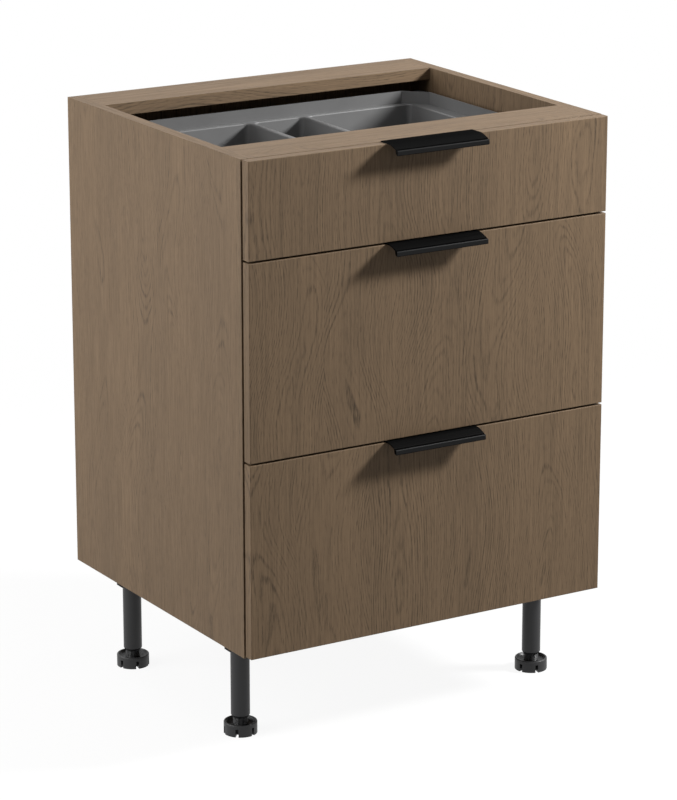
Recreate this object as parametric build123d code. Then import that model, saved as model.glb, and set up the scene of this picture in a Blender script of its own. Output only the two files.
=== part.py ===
"""Kitchen base cabinet, 600 mm wide, with three full-extension drawers.

Millimetres, +Z up. X = 0 is the middle of the cabinet, the drawer fronts face -Y,
Z = 0 is the floor, and Y = 0 is the middle of the overall depth, handles included.

The carcass is an open-topped box of melamine-faced board: two sides, a bottom, a thin back
in grooves and two flat top rails, held by cam fittings and dowels. It stands on four
screw-adjusted legs. Each drawer is a double-walled steel box with a board base and back on
a pair of three-part telescopic runners, behind a board front with an edge-pull handle. The
top drawer holds a moulded cutlery tray.
"""
import os
from math import cos, radians, sin, sqrt

from build123d import *

# ---------------------------------------------------------------- driving dimensions
WIDTH = 600.0                  # over the two sides
CARCASS_HEIGHT = 720.0
LEG_HEIGHT = 150.0             # floor to the underside of the carcass
BOARD = 18.0                   # sides, bottom and rails
RAIL_DEPTH = 84.0              # both top rails, front to back

BACK_THICKNESS = 8.0
BACK_INSET = 20.0              # rear edge of the sides to the rear of the back panel
BACK_SPACE = 36.5              # rear of the drawer boxes to the back panel
GROOVE_DEPTH = 9.0
GROOVE_END_GAP = 1.0           # left free in the depth of each groove

FRONT_THICKNESS = 16.0
FRONT_GAP = 2.5                # carcass to the back of a drawer front
FRONT_SIDE_INSET = 1.5         # each side of a front, inside the carcass width
FRONT_BOTTOM_INSET = 3.0       # lowest front above the carcass underside
FRONT_SPACING = 3.0            # between two fronts
TOP_FRONT_HEIGHT = 140.0       # the two lower fronts share what is left
FRONT_EDGE_RADIUS = 0.8
LOWER_DRAWERS = 2

# cam fittings and dowels
CAM_RADIUS = 7.5
CAM_DEPTH = 13.0
CAM_SETBACK = 34.0             # end of the board to the cam's axis
CAM_SLOT_WIDTH = 2.2
CAM_SLOT_DEPTH = 2.5
CAM_BOLT_RADIUS = 3.5
CAM_BOLT_THREAD_RADIUS = 2.5
CAM_BOLT_THREAD = 11.0         # length screwed into the side
DOWEL_RADIUS = 4.0
DOWEL_LENGTH = 30.0
DOWEL_IN_SIDE = 11.0
DOWEL_END_GAP = 1.0
FITTING_EDGE = 60.0            # first fitting of the bottom panel from its front or rear edge
FITTING_PITCH = 32.0           # cam to dowel
RAIL_FITTING_EDGE = 16.0       # cam of a rail from the rail's edge that faces the front

# legs
LEG_INSET_X = 45.0             # leg axis from the outside of the side panel
LEG_INSET_Y = 91.0             # leg axis from the front or rear edge of the carcass
SOCKET_RADIUS = 31.0
SOCKET_PLATE = 4.5
SOCKET_CHAMFER = 1.8
SOCKET_STUB = 24.0
TUBE_RADIUS = 14.0
TUBE_CHAMFER = 2.2             # radial, lower end of the tube
TUBE_CHAMFER_HEIGHT = 3.4
SPINDLE_RADIUS = 11.0
SPINDLE_CHAMFER = 1.5
SPINDLE_CLEARANCE = 0.05       # radial, spindle in the tube's bore
SPINDLE_THREAD = 58.0          # length above the foot disc
NECK = 7.0                     # spindle seen between the foot disc and the tube
FOOT_RADIUS = 24.5
FOOT_HEIGHT = 18.0
FOOT_CHAMFER = 1.6
FOOT_PIN_RADIUS = 6.0
FOOT_PIN_CLEARANCE = 0.05      # radial
FOOT_PIN_LENGTH = 9.0
FOOT_PIN_END_GAP = 1.0
FOOT_HOLLOW_RADIUS = 9.5       # recess under the middle of the disc
FOOT_HOLLOW = 3.0
FOOT_NOTCHES = 6
FOOT_NOTCH_WIDTH = 4.4
FOOT_NOTCH_DEPTH = 11.5        # radial
FOOT_NOTCH_HEIGHT = 12.0
FOOT_TURN = 18.0               # degrees, where the notches stand
FOOT_TURN_FRONT_LEFT = 48.0
LEG_SCREWS = 4                 # of one socket
LEG_SCREW_TURN = 45.0          # degrees

# drawer boxes
BOX_LENGTH = 450.0             # back of the front to the rear of the box
SIDE_GAP = 5.0                 # side panel to the outer skin of the steel side
STEEL_SIDE = 13.0              # over both skins
SKIN = 1.2
SIDE_TOP_RADIUS = 2.4          # rounded top of the steel side
SIDE_FLANGE = 12.0             # foot of the inner skin, under the base
REAR_FLANGE = 14.0             # rear end of the inner skin, bent behind the back
BASE_SCREW_EDGE = 42.0         # first and last screw under the base from the ends of the box
BACK_SCREW_EDGE = 13.0         # screw in the back above the base and below the top of the side
BASE_THICKNESS = 16.0
BACK_BOARD = 16.0
TOP_SIDE_HEIGHT = 77.5
LOWER_SIDE_HEIGHT = 180.0
BRACKET_PLATE = 1.5
BRACKET_REACH = 27.0           # plate width across the front
BRACKET_TONGUE = 36.0
BRACKET_SLACK = 0.8            # tongue inside the hollow side
BRACKET_EDGE = 3.0             # plate below the top of the side and above the base
BRACKET_SCREW_EDGE = 7.5       # screw from the end of the plate

# runners
RUNNER_HEIGHT = 26.0
RUNNER_STEEL = 1.2
RUNNER_PLAY = 0.4              # between nested members
RUNNER_MOUTH = 14.0            # side panel to the open edge of the cabinet member
RUNNER_LIP = 3.0
RUNNER_PAST_BOX = 3.5          # rear of the runner behind the rear of the box
RUNNER_SETBACK = 3.0           # carcass front edge to the runner
RUNNER_SCREW_FRONT = 34.0      # first screw from the front end of a runner
RUNNER_SCREW_REAR = 30.0       # last screw from its rear end
RUNNER_SCREW_ROOM = 2.2        # for screw heads behind the middle member
RUNNER_TO_SIDE = 1.5           # top of the cabinet member to the steel side
RUNNER_SHELF = 20.0            # flange that carries the drawer
RUNNER_RISE = 11.0             # runner axis above the bottom edge of its front
LOWEST_RUNNER_CLEARANCE = 2.0  # lowest runner above the bottom panel

# screws
SCREW_RADIUS = 2.0
SCREW_LENGTH = 13.0
SCREW_HEAD_RADIUS = 3.8
SCREW_HEAD = 1.6
HANDLE_SCREW_RADIUS = 1.6
HANDLE_SCREW_HEAD_RADIUS = 3.0

# handles: an extruded edge pull that hooks over the top edge of a front
HANDLE_LENGTH = 152.0
HANDLE_REACH = 27.0            # in front of the drawer front
HANDLE_WALL = 1.5
HANDLE_BACK_LEG = 20.0
HANDLE_DROP = 12.5             # top of the front down to the lowest point of the lip
HANDLE_CROWN = 6.8             # flat part in front of the drawer front
HANDLE_NOSE_BACK = 3.8         # end of the curved face behind the foremost point
HANDLE_NOSE_RISE = 8.6         # end of the curved face above the lowest point
HANDLE_GROOVE = 0.7            # shadow groove between the curved face and the lip
HANDLE_LIP = 2.4               # half the thickness of the rounded lip
HANDLE_LIP_TOP_BACK = 1.9      # top of the lip behind the foremost point
HANDLE_SCREW_PITCH = 96.0

# cutlery tray
TRAY_GAP = 1.0                 # to the steel sides and to the back
TRAY_FRONT_GAP = 5.0           # to the back of the front, past the brackets
TRAY_RISE = 6.0                # rim above the top of the steel sides
TRAY_WALL = 2.0
TRAY_LEDGE_DROP = 19.0         # rim down to the ledge
TRAY_LEDGE_SIDE = 22.0
TRAY_LEDGE_BACK = 11.0
TRAY_CORNER = 32.0             # 45 degree cut at the two rear corners
TRAY_DRAFT = 4.0               # degrees, wall of a well
TRAY_WELL_RADIUS = 9.0
TRAY_DIVIDER = 8.0
TRAY_RIM_RADIUS = 2.4
TRAY_DIVIDERS_X = (-42.0, 52.0)

TOUCH = 0.01                   # two places this near count as one

# ---------------------------------------------------------------- derived places
CARCASS_DEPTH = BOX_LENGTH - FRONT_GAP + BACK_SPACE + BACK_THICKNESS + BACK_INSET
TOTAL_DEPTH = HANDLE_REACH + FRONT_THICKNESS + FRONT_GAP + CARCASS_DEPTH
FRONT_FACE_Y = -TOTAL_DEPTH / 2 + HANDLE_REACH
FRONT_BACK_Y = FRONT_FACE_Y + FRONT_THICKNESS
CARCASS_FRONT_Y = FRONT_BACK_Y + FRONT_GAP
CARCASS_BACK_Y = CARCASS_FRONT_Y + CARCASS_DEPTH
CARCASS_BOTTOM_Z = LEG_HEIGHT
TOP_Z = LEG_HEIGHT + CARCASS_HEIGHT
OUTER_X = WIDTH / 2
INNER_X = OUTER_X - BOARD
SIDE_INNER_X = INNER_X - SIDE_GAP - STEEL_SIDE
BOX_BACK_Y = FRONT_BACK_Y + BOX_LENGTH
BACK_BOARD_Y = BOX_BACK_Y - SKIN - BACK_BOARD
RUNNER_FRONT_Y = CARCASS_FRONT_Y + RUNNER_SETBACK
RUNNER_BACK_Y = BOX_BACK_Y + RUNNER_PAST_BOX
LOWER_FRONT_HEIGHT = (CARCASS_HEIGHT - FRONT_BOTTOM_INSET - TOP_FRONT_HEIGHT
                      - LOWER_DRAWERS * FRONT_SPACING) / LOWER_DRAWERS


def block(x0, x1, y0, y1, z0, z1):
    """A box given by its faces."""
    middle = Pos((x0 + x1) / 2, (y0 + y1) / 2, (z0 + z1) / 2)
    return middle * Box(abs(x1 - x0), abs(y1 - y0), abs(z1 - z0))


def rod(point, direction, radius, length):
    """A round bar that starts at point and runs along direction."""
    return Plane(origin=point, z_dir=direction) * Cylinder(
        radius, length, align=(Align.CENTER, Align.CENTER, Align.MIN))


def along_y(points, y0, y1):
    """A profile drawn in X and Z and extruded from y0 to y1."""
    face = make_face(Polyline(*[(x, 0, z) for x, z in points], close=True))
    return Pos(0, y0, 0) * extrude(face, amount=y1 - y0, dir=(0, 1, 0))


def both_sides(shape):
    """The shape and its mirror image about the middle of the cabinet."""
    return Compound([shape, mirror(shape, about=Plane.YZ)])


# ---------------------------------------------------------------- carcass
def panel_fittings(y_cams, y_dowels, z_bottom):
    """Cams, bolts and dowels of one board that runs from side to side, with its cutters."""
    z = z_bottom + BOARD / 2
    cams, bolts, dowels, cuts = [], [], [], []
    for side in (-1, 1):
        end_x = side * INNER_X
        for y in y_cams:
            cam_x = side * (INNER_X - CAM_SETBACK)
            housing = rod((cam_x, y, z_bottom), (0, 0, 1), CAM_RADIUS, CAM_DEPTH)
            bolt_start = (end_x + side * CAM_BOLT_THREAD, y, z)
            bolt = rod(bolt_start, (-side, 0, 0), CAM_BOLT_THREAD_RADIUS, CAM_BOLT_THREAD)
            bolt += rod((end_x, y, z), (-side, 0, 0), CAM_BOLT_RADIUS, CAM_SETBACK)
            slot = block(cam_x - CAM_RADIUS, cam_x + CAM_RADIUS, y - CAM_SLOT_WIDTH / 2,
                         y + CAM_SLOT_WIDTH / 2, z_bottom, z_bottom + CAM_SLOT_DEPTH)
            cams.append(housing - bolt - slot)
            bolts.append(bolt)
            cuts += [housing, bolt]
        for y in y_dowels:
            start = end_x + side * DOWEL_IN_SIDE
            dowels.append(rod((start, y, z), (-side, 0, 0), DOWEL_RADIUS, DOWEL_LENGTH))
            cuts.append(rod((start + side * DOWEL_END_GAP, y, z), (-side, 0, 0), DOWEL_RADIUS,
                            DOWEL_LENGTH + 2 * DOWEL_END_GAP))
    return cams, bolts, dowels, cuts


def carcass():
    """Sides, bottom, back and rails with their fittings."""
    back_y1 = CARCASS_BACK_Y - BACK_INSET
    back_y0 = back_y1 - BACK_THICKNESS
    bottom_top = CARCASS_BOTTOM_Z + BOARD
    rail_z = TOP_Z - BOARD

    y0, y1 = CARCASS_FRONT_Y, CARCASS_BACK_Y
    left = block(-OUTER_X, -INNER_X, y0, y1, CARCASS_BOTTOM_Z, TOP_Z)
    right = block(INNER_X, OUTER_X, y0, y1, CARCASS_BOTTOM_Z, TOP_Z)
    bottom = block(-INNER_X, INNER_X, y0, y1, CARCASS_BOTTOM_Z, bottom_top)
    front_rail = block(-INNER_X, INNER_X, y0, y0 + RAIL_DEPTH, rail_z, TOP_Z)
    rear_rail = block(-INNER_X, INNER_X, y1 - RAIL_DEPTH, y1, rail_z, TOP_Z)

    reach = GROOVE_DEPTH - GROOVE_END_GAP
    back = block(-INNER_X - reach, INNER_X + reach, back_y0, back_y1,
                 bottom_top - reach, rail_z + reach)
    groove = block(-INNER_X - GROOVE_DEPTH, INNER_X + GROOVE_DEPTH, back_y0, back_y1,
                   bottom_top - GROOVE_DEPTH, rail_z + GROOVE_DEPTH)

    front_y = y0 + RAIL_FITTING_EDGE
    rear_y = y1 - RAIL_DEPTH + RAIL_FITTING_EDGE
    bottom_cams = (y0 + FITTING_EDGE, y1 - FITTING_EDGE)
    bottom_dowels = (bottom_cams[0] + FITTING_PITCH, bottom_cams[1] - FITTING_PITCH)
    sets = [panel_fittings(bottom_cams, bottom_dowels, CARCASS_BOTTOM_Z),
            panel_fittings((front_y,), (front_y + FITTING_PITCH,), rail_z),
            panel_fittings((rear_y,), (rear_y + FITTING_PITCH,), rail_z)]
    boards = [bottom - groove, front_rail, rear_rail - groove]
    left -= groove
    right -= groove
    cams, bolts, dowels = [], [], []
    for index, (some_cams, some_bolts, some_dowels, cuts) in enumerate(sets):
        boards[index] = boards[index] - cuts
        left = left - cuts
        right = right - cuts
        cams += some_cams
        bolts += some_bolts
        dowels += some_dowels
    return {"side_panel_left": left, "side_panel_right": right, "bottom_panel": boards[0],
            "front_rail": boards[1], "rear_rail": boards[2], "back_panel": back,
            "cam_housings": Compound(cams), "cam_bolts": Compound(bolts), "dowels": Compound(dowels)}


# ---------------------------------------------------------------- legs
def leg_parts():
    """Socket, tube, spindle, foot disc and screws of one leg whose axis is X = Y = 0."""
    tube_top = CARCASS_BOTTOM_Z - SOCKET_PLATE
    tube_bottom = FOOT_HEIGHT + NECK
    bore = SPINDLE_RADIUS + SPINDLE_CLEARANCE
    up = (0, 0, 1)

    plate = rod((0, 0, tube_top), up, SOCKET_RADIUS, SOCKET_PLATE)
    plate = chamfer(plate.edges().group_by(Axis.Z)[0], SOCKET_CHAMFER)
    socket = plate + rod((0, 0, tube_top - SOCKET_STUB), up, bore, SOCKET_STUB)

    waist = TUBE_RADIUS - TUBE_CHAMFER
    tube = rod((0, 0, tube_bottom + TUBE_CHAMFER_HEIGHT), up, TUBE_RADIUS,
               tube_top - tube_bottom - TUBE_CHAMFER_HEIGHT)
    tube += Pos(0, 0, tube_bottom) * Cone(waist, TUBE_RADIUS, TUBE_CHAMFER_HEIGHT,
                                          align=(Align.CENTER, Align.CENTER, Align.MIN))
    tube -= rod((0, 0, tube_bottom), up, bore, tube_top - tube_bottom)

    spindle = rod((0, 0, FOOT_HEIGHT), up, SPINDLE_RADIUS, SPINDLE_THREAD)
    spindle = chamfer(spindle.edges().group_by(Axis.Z)[-1], SPINDLE_CHAMFER)
    spindle += rod((0, 0, FOOT_HEIGHT - FOOT_PIN_LENGTH), up, FOOT_PIN_RADIUS, FOOT_PIN_LENGTH)

    disc = rod((0, 0, 0), up, FOOT_RADIUS, FOOT_HEIGHT)
    disc = chamfer(disc.edges().group_by(Axis.Z)[-1], FOOT_CHAMFER)
    pocket = FOOT_PIN_LENGTH + FOOT_PIN_END_GAP
    disc -= rod((0, 0, FOOT_HEIGHT - pocket), up, FOOT_PIN_RADIUS + FOOT_PIN_CLEARANCE, pocket)
    disc -= rod((0, 0, 0), up, FOOT_HOLLOW_RADIUS, FOOT_HOLLOW)
    notch = block(FOOT_RADIUS - FOOT_NOTCH_DEPTH, FOOT_RADIUS + FOOT_NOTCH_DEPTH,
                  -FOOT_NOTCH_WIDTH / 2, FOOT_NOTCH_WIDTH / 2, 0, FOOT_NOTCH_HEIGHT)
    disc -= [Rot(0, 0, i * 360 / FOOT_NOTCHES) * notch for i in range(FOOT_NOTCHES)]

    screws = []
    circle = (TUBE_RADIUS + SOCKET_RADIUS) / 2
    for i in range(LEG_SCREWS):
        angle = radians(LEG_SCREW_TURN + i * 360 / LEG_SCREWS)
        screws.append(screw((circle * cos(angle), circle * sin(angle), tube_top), up))
    return socket - screws, tube, spindle, disc, screws


def screw(seat, direction):
    """A pan-head screw: its head is on the near side of seat, its shank runs along direction."""
    back = tuple(-component for component in direction)
    head = rod(seat, back, SCREW_HEAD_RADIUS, SCREW_HEAD)
    return head + rod(seat, direction, SCREW_RADIUS, SCREW_LENGTH)


def legs(parts):
    """The four legs, named by corner, added to parts; returns the holes in the bottom panel."""
    socket, tube, spindle, disc, screws = leg_parts()
    x = OUTER_X - LEG_INSET_X
    front_y = CARCASS_FRONT_Y + LEG_INSET_Y
    rear_y = CARCASS_BACK_Y - LEG_INSET_Y
    corners = {"front_left": (-x, front_y, FOOT_TURN_FRONT_LEFT),
               "front_right": (x, front_y, FOOT_TURN),
               "rear_left": (-x, rear_y, FOOT_TURN),
               "rear_right": (x, rear_y, FOOT_TURN)}
    sockets, all_screws = [], []
    for corner, (corner_x, corner_y, turn) in corners.items():
        place = Pos(corner_x, corner_y, 0)
        sockets.append(place * socket)
        parts["leg_tube_" + corner] = place * tube
        parts["foot_spindle_" + corner] = place * spindle
        parts["foot_disc_" + corner] = place * Rot(0, 0, turn) * disc
        all_screws += [place * one for one in screws]
    parts["leg_sockets"] = Compound(sockets)
    parts["leg_screws"] = Compound(all_screws)
    return all_screws


# ---------------------------------------------------------------- runners
def channel(web_x, mouth_x, half_height, lip):
    """A C profile open towards the middle: its corner points in X and Z, X from the side panel."""
    t = RUNNER_STEEL
    inside = half_height - t
    lower = [(web_x, -half_height), (mouth_x, -half_height), (mouth_x, lip - inside),
             (mouth_x - t, lip - inside), (mouth_x - t, -inside), (web_x + t, -inside)]
    return lower + [(x, -z) for x, z in reversed(lower)]


def runner(axis_z):
    """Cabinet, middle and drawer member of a pair of runners, and the screws of the pair."""
    t = RUNNER_STEEL
    half = RUNNER_HEIGHT / 2
    middle_half = half - t - RUNNER_PLAY
    drawer_half = middle_half - t - RUNNER_PLAY
    middle_web = t + RUNNER_SCREW_ROOM
    drawer_web = middle_web + t + 2 * RUNNER_PLAY
    middle_mouth = RUNNER_MOUTH - t - RUNNER_PLAY
    drawer_mouth = middle_mouth - t - RUNNER_PLAY
    shelf_top = half + RUNNER_TO_SIDE
    shelf_end = SIDE_GAP + STEEL_SIDE + RUNNER_SHELF
    riser_x = RUNNER_MOUTH + 2 * RUNNER_PLAY + t

    cabinet_profile = channel(0, RUNNER_MOUTH, half, RUNNER_LIP)
    middle_profile = channel(middle_web, middle_mouth, middle_half, RUNNER_LIP)
    drawer_profile = [
        (drawer_web, -drawer_half), (drawer_mouth, -drawer_half), (drawer_mouth, -drawer_half + t),
        (drawer_web + t, -drawer_half + t), (drawer_web + t, -t / 2), (riser_x + t, -t / 2),
        (riser_x + t, shelf_top - t), (shelf_end, shelf_top - t), (shelf_end, shelf_top),
        (riser_x, shelf_top), (riser_x, t / 2), (drawer_web + t, t / 2),
        (drawer_web + t, drawer_half - t), (drawer_mouth, drawer_half - t),
        (drawer_mouth, drawer_half), (drawer_web, drawer_half)]

    members = []
    for profile in (cabinet_profile, middle_profile, drawer_profile):
        points = [(INNER_X - x, axis_z + z) for x, z in profile]
        members.append(along_y(points, RUNNER_FRONT_Y, RUNNER_BACK_Y))
    first = RUNNER_FRONT_Y + RUNNER_SCREW_FRONT
    last = RUNNER_BACK_Y - RUNNER_SCREW_REAR
    screws = [screw((INNER_X - t, y, axis_z), (1, 0, 0)) for y in (first, (first + last) / 2, last)]
    members[0] = members[0] - screws
    return [both_sides(member) for member in members], screws


# ---------------------------------------------------------------- handle
def handle(top_z):
    """Edge pull over the top edge of a front whose top is at top_z, and its screws."""
    wall = HANDLE_WALL
    leg_y = FRONT_BACK_Y + wall
    leg_z = top_z - HANDLE_BACK_LEG
    reach_y = FRONT_FACE_Y - HANDLE_REACH
    crown_y = FRONT_FACE_Y - HANDLE_CROWN
    low_z = top_z - HANDLE_DROP

    # flat over the front, a falling curve to the nose, a shadow groove, and a rounded lip
    nose_y, nose_z = reach_y + HANDLE_NOSE_BACK, low_z + HANDLE_NOSE_RISE
    crown = (0, crown_y, top_z + wall)
    nose = (0, nose_y, nose_z)
    groove = (0, nose_y + HANDLE_GROOVE, nose_z - HANDLE_GROOVE)
    lip_top = (0, reach_y + HANDLE_LIP_TOP_BACK, groove[2] - HANDLE_GROOVE / 2)
    lip_front = (0, reach_y, (lip_top[2] + low_z) / 2)
    lip_low = (0, reach_y + HANDLE_LIP, low_z)
    lip_back = (0, reach_y + 2 * HANDLE_LIP, low_z + HANDLE_LIP)
    under_nose = (0, nose_y + wall + HANDLE_GROOVE, nose_z)
    under_crown = (0, crown_y, top_z)

    line = Polyline((0, leg_y, leg_z), (0, leg_y, top_z + wall), crown)
    line += TangentArc(crown, nose, tangent=(0, -1, 0))
    line += Polyline(nose, groove, lip_top)
    line += ThreePointArc(lip_top, lip_front, lip_low)
    line += Polyline(lip_low, lip_back, under_nose)
    line += TangentArc(under_crown, under_nose, tangent=(0, -1, 0))
    line += Polyline(under_crown, (0, FRONT_BACK_Y, top_z), (0, FRONT_BACK_Y, leg_z), (0, leg_y, leg_z))
    body = extrude(make_face(line), amount=HANDLE_LENGTH / 2, dir=(1, 0, 0), both=True)

    screws = []
    for x in (-HANDLE_SCREW_PITCH / 2, HANDLE_SCREW_PITCH / 2):
        z = (top_z + leg_z) / 2
        head = Plane(origin=(x, leg_y, z), z_dir=(0, -1, 0)) * Cone(
            HANDLE_SCREW_HEAD_RADIUS, HANDLE_SCREW_RADIUS, wall,
            align=(Align.CENTER, Align.CENTER, Align.MIN))
        screws.append(head + rod((x, FRONT_BACK_Y, z), (0, -1, 0), HANDLE_SCREW_RADIUS, SCREW_LENGTH))
    return body - screws, screws


# ---------------------------------------------------------------- drawers
def rounded_top(x0, x1, y0, y1, z0, z1, radius):
    """A box whose two long upper edges are rounded."""
    body = block(x0, x1, y0, y1, z0, z1)
    return fillet(body.edges().filter_by(Axis.Y).group_by(Axis.Z)[-1], radius)


def steel_side(side_bottom, base_top, top):
    """The double-walled steel side on the right, with a foot under the base and one behind the back."""
    x0 = INNER_X - SIDE_GAP
    x1 = x0 - STEEL_SIDE
    y0, y1 = FRONT_BACK_Y + BRACKET_PLATE, BOX_BACK_Y
    side = rounded_top(x0, x1, y0, y1, side_bottom, top, SIDE_TOP_RADIUS)
    side -= rounded_top(x0 - SKIN, x1 + SKIN, y0, y1, side_bottom, top - SKIN, SIDE_TOP_RADIUS - SKIN)
    side += block(x1, x1 - SIDE_FLANGE, y0, y1, side_bottom, side_bottom + SKIN)
    return side + block(x1, x1 - REAR_FLANGE, y1 - SKIN, y1, base_top, top - SIDE_TOP_RADIUS)


def front_bracket(base_top, side_top):
    """Plate behind the front, with a tongue in the hollow of the right side, and its screws."""
    x0 = INNER_X - SIDE_GAP
    z0, z1 = base_top + BRACKET_EDGE, side_top - BRACKET_EDGE
    plate_y = FRONT_BACK_Y + BRACKET_PLATE
    plate = block(x0, x0 - BRACKET_REACH, FRONT_BACK_Y, plate_y, z0, z1)
    hollow = SKIN + BRACKET_SLACK
    tongue = block(x0 - hollow, x0 - STEEL_SIDE + hollow, plate_y, plate_y + BRACKET_TONGUE,
                   z0 + BRACKET_EDGE, z1 - BRACKET_EDGE)
    x = x0 - (STEEL_SIDE + BRACKET_REACH) / 2
    screws = [screw((x, plate_y, z), (0, -1, 0))
              for z in (z0 + BRACKET_SCREW_EDGE, z1 - BRACKET_SCREW_EDGE)]
    return plate + tongue - screws, screws


def box_screws(side_bottom, base_top, side_top):
    """Screws on the right: up through runner, steel foot and base, and forward into the back."""
    x = SIDE_INNER_X - SIDE_FLANGE / 2
    first, last = FRONT_BACK_Y + BASE_SCREW_EDGE, BOX_BACK_Y - BASE_SCREW_EDGE
    seat = side_bottom - RUNNER_STEEL
    screws = [screw((x, y, seat), (0, 0, 1)) for y in (first, (first + last) / 2, last)]
    x = SIDE_INNER_X - REAR_FLANGE / 2
    screws += [screw((x, BOX_BACK_Y, z), (0, -1, 0))
               for z in (base_top + BACK_SCREW_EDGE, side_top - BACK_SCREW_EDGE)]
    return screws


def front_board(bottom_z, top_z, holes):
    """A drawer front with softened edges and the pilot holes of its screws."""
    x = OUTER_X - FRONT_SIDE_INSET
    board = block(-x, x, FRONT_FACE_Y, FRONT_BACK_Y, bottom_z, top_z)
    board = fillet(board.faces().sort_by(Axis.Y)[0].edges(), FRONT_EDGE_RADIUS)
    return board - holes


def drawer(number, bottom_z, top_z, parts):
    """One drawer with its runners, added to parts; returns the screws in the side panels."""
    lowest_axis = CARCASS_BOTTOM_Z + BOARD + LOWEST_RUNNER_CLEARANCE + RUNNER_HEIGHT / 2
    axis_z = max(bottom_z + RUNNER_RISE, lowest_axis)
    side_height = TOP_SIDE_HEIGHT if number == 1 else LOWER_SIDE_HEIGHT
    side_bottom = axis_z + RUNNER_HEIGHT / 2 + RUNNER_TO_SIDE
    side_top = side_bottom + side_height
    base_top = side_bottom + SKIN + BASE_THICKNESS
    tag = "_%d" % number

    members, runner_screws = runner(axis_z)
    bracket, bracket_screws = front_bracket(base_top, side_top)
    pull, pull_screws = handle(top_z)
    right_screws = box_screws(side_bottom, base_top, side_top)
    box_holes = right_screws + [mirror(one, about=Plane.YZ) for one in right_screws]
    front_holes = (bracket_screws + [mirror(one, about=Plane.YZ) for one in bracket_screws]
                   + pull_screws)
    side = steel_side(side_bottom, base_top, side_top) - right_screws
    base = block(-SIDE_INNER_X, SIDE_INNER_X, FRONT_BACK_Y, BOX_BACK_Y, side_bottom + SKIN, base_top)
    back = block(-SIDE_INNER_X, SIDE_INNER_X, BACK_BOARD_Y, BACK_BOARD_Y + BACK_BOARD,
                 base_top, side_top)

    parts["runner_cabinet_members" + tag] = members[0]
    parts["runner_middle_members" + tag] = members[1]
    parts["runner_drawer_members" + tag] = members[2] - box_holes
    parts["drawer_side_right" + tag] = side
    parts["drawer_side_left" + tag] = mirror(side, about=Plane.YZ)
    parts["drawer_base" + tag] = base - box_holes
    parts["drawer_back" + tag] = back - box_holes
    parts["front_brackets" + tag] = both_sides(bracket)
    parts["drawer_front" + tag] = front_board(bottom_z, top_z, front_holes)
    parts["handle" + tag] = pull
    parts["drawer_screws" + tag] = Compound(front_holes + box_holes)
    if number == 1:
        parts["cutlery_tray"] = cutlery_tray(base_top, side_top)
    return runner_screws + [mirror(one, about=Plane.YZ) for one in runner_screws]


def cutlery_tray(base_top, side_top):
    """Thin moulded tray: a raised wall with cut rear corners, a ledge and three drafted wells."""
    x = SIDE_INNER_X - TRAY_GAP
    y0 = FRONT_BACK_Y + TRAY_FRONT_GAP
    y1 = BACK_BOARD_Y - TRAY_GAP
    rim_z = side_top + TRAY_RISE
    ledge_z = rim_z - TRAY_LEDGE_DROP
    w = TRAY_WALL

    def outline(inset):
        cut = TRAY_CORNER - inset * (2 - sqrt(2))
        left, right, near, far = -x + inset, x - inset, y0 + inset, y1 - inset
        return make_face(Polyline((left, near), (right, near), (right, far - cut), (right - cut, far),
                                  (left + cut, far), (left, far - cut), close=True))

    wall = Pos(0, 0, ledge_z - w) * extrude(outline(0), amount=rim_z - ledge_z + w)
    recess = Pos(0, 0, ledge_z) * extrude(outline(w), amount=rim_z - ledge_z)
    tray = wall - recess

    well_y0 = y0 + TRAY_LEDGE_BACK
    well_y1 = y1 - TRAY_LEDGE_BACK
    edges_x = [-x + TRAY_LEDGE_SIDE]
    for divider in TRAY_DIVIDERS_X:
        edges_x += [divider - TRAY_DIVIDER / 2, divider + TRAY_DIVIDER / 2]
    edges_x.append(x - TRAY_LEDGE_SIDE)
    depth = ledge_z - base_top
    width_y = well_y1 - well_y0
    insides = []
    for left, right in zip(edges_x[0::2], edges_x[1::2]):
        place = Pos((left + right) / 2, (well_y0 + well_y1) / 2, ledge_z)
        width_x = right - left
        shell = RectangleRounded(width_x + 2 * w, width_y + 2 * w, TRAY_WELL_RADIUS + w)
        hollow = RectangleRounded(width_x, width_y, TRAY_WELL_RADIUS)
        tray += place * extrude(shell, amount=-depth, taper=TRAY_DRAFT)
        insides.append(place * extrude(hollow, amount=w - depth, taper=TRAY_DRAFT))
    tray -= insides

    def on_a_rim(edge):
        middle = edge.center()
        return (abs(middle.Z - ledge_z) < TOUCH and abs(middle.X) < x - TRAY_LEDGE_SIDE + TOUCH
                and well_y0 - TOUCH < middle.Y < well_y1 + TOUCH)

    return fillet(tray.edges().filter_by(on_a_rim), TRAY_RIM_RADIUS)


# ---------------------------------------------------------------- the whole cabinet
def build():
    parts = carcass()
    leg_holes = legs(parts)
    parts["bottom_panel"] = parts["bottom_panel"] - leg_holes
    parts["side_panel_left"] = parts["side_panel_left"] - leg_holes
    parts["side_panel_right"] = parts["side_panel_right"] - leg_holes

    side_screws = []
    top_z = TOP_Z
    for number in range(1, LOWER_DRAWERS + 2):
        bottom_z = top_z - (TOP_FRONT_HEIGHT if number == 1 else LOWER_FRONT_HEIGHT)
        side_screws += drawer(number, bottom_z, top_z, parts)
        top_z = bottom_z - FRONT_SPACING
    parts["side_panel_left"] = parts["side_panel_left"] - side_screws
    parts["side_panel_right"] = parts["side_panel_right"] - side_screws
    parts["runner_screws"] = Compound(side_screws)
    return parts


os.makedirs("parts", exist_ok=True)
for name, shape in build().items():
    export_step(shape, "parts/%s.step" % name)
    print(name, len(shape.solids()), round(shape.volume))
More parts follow.
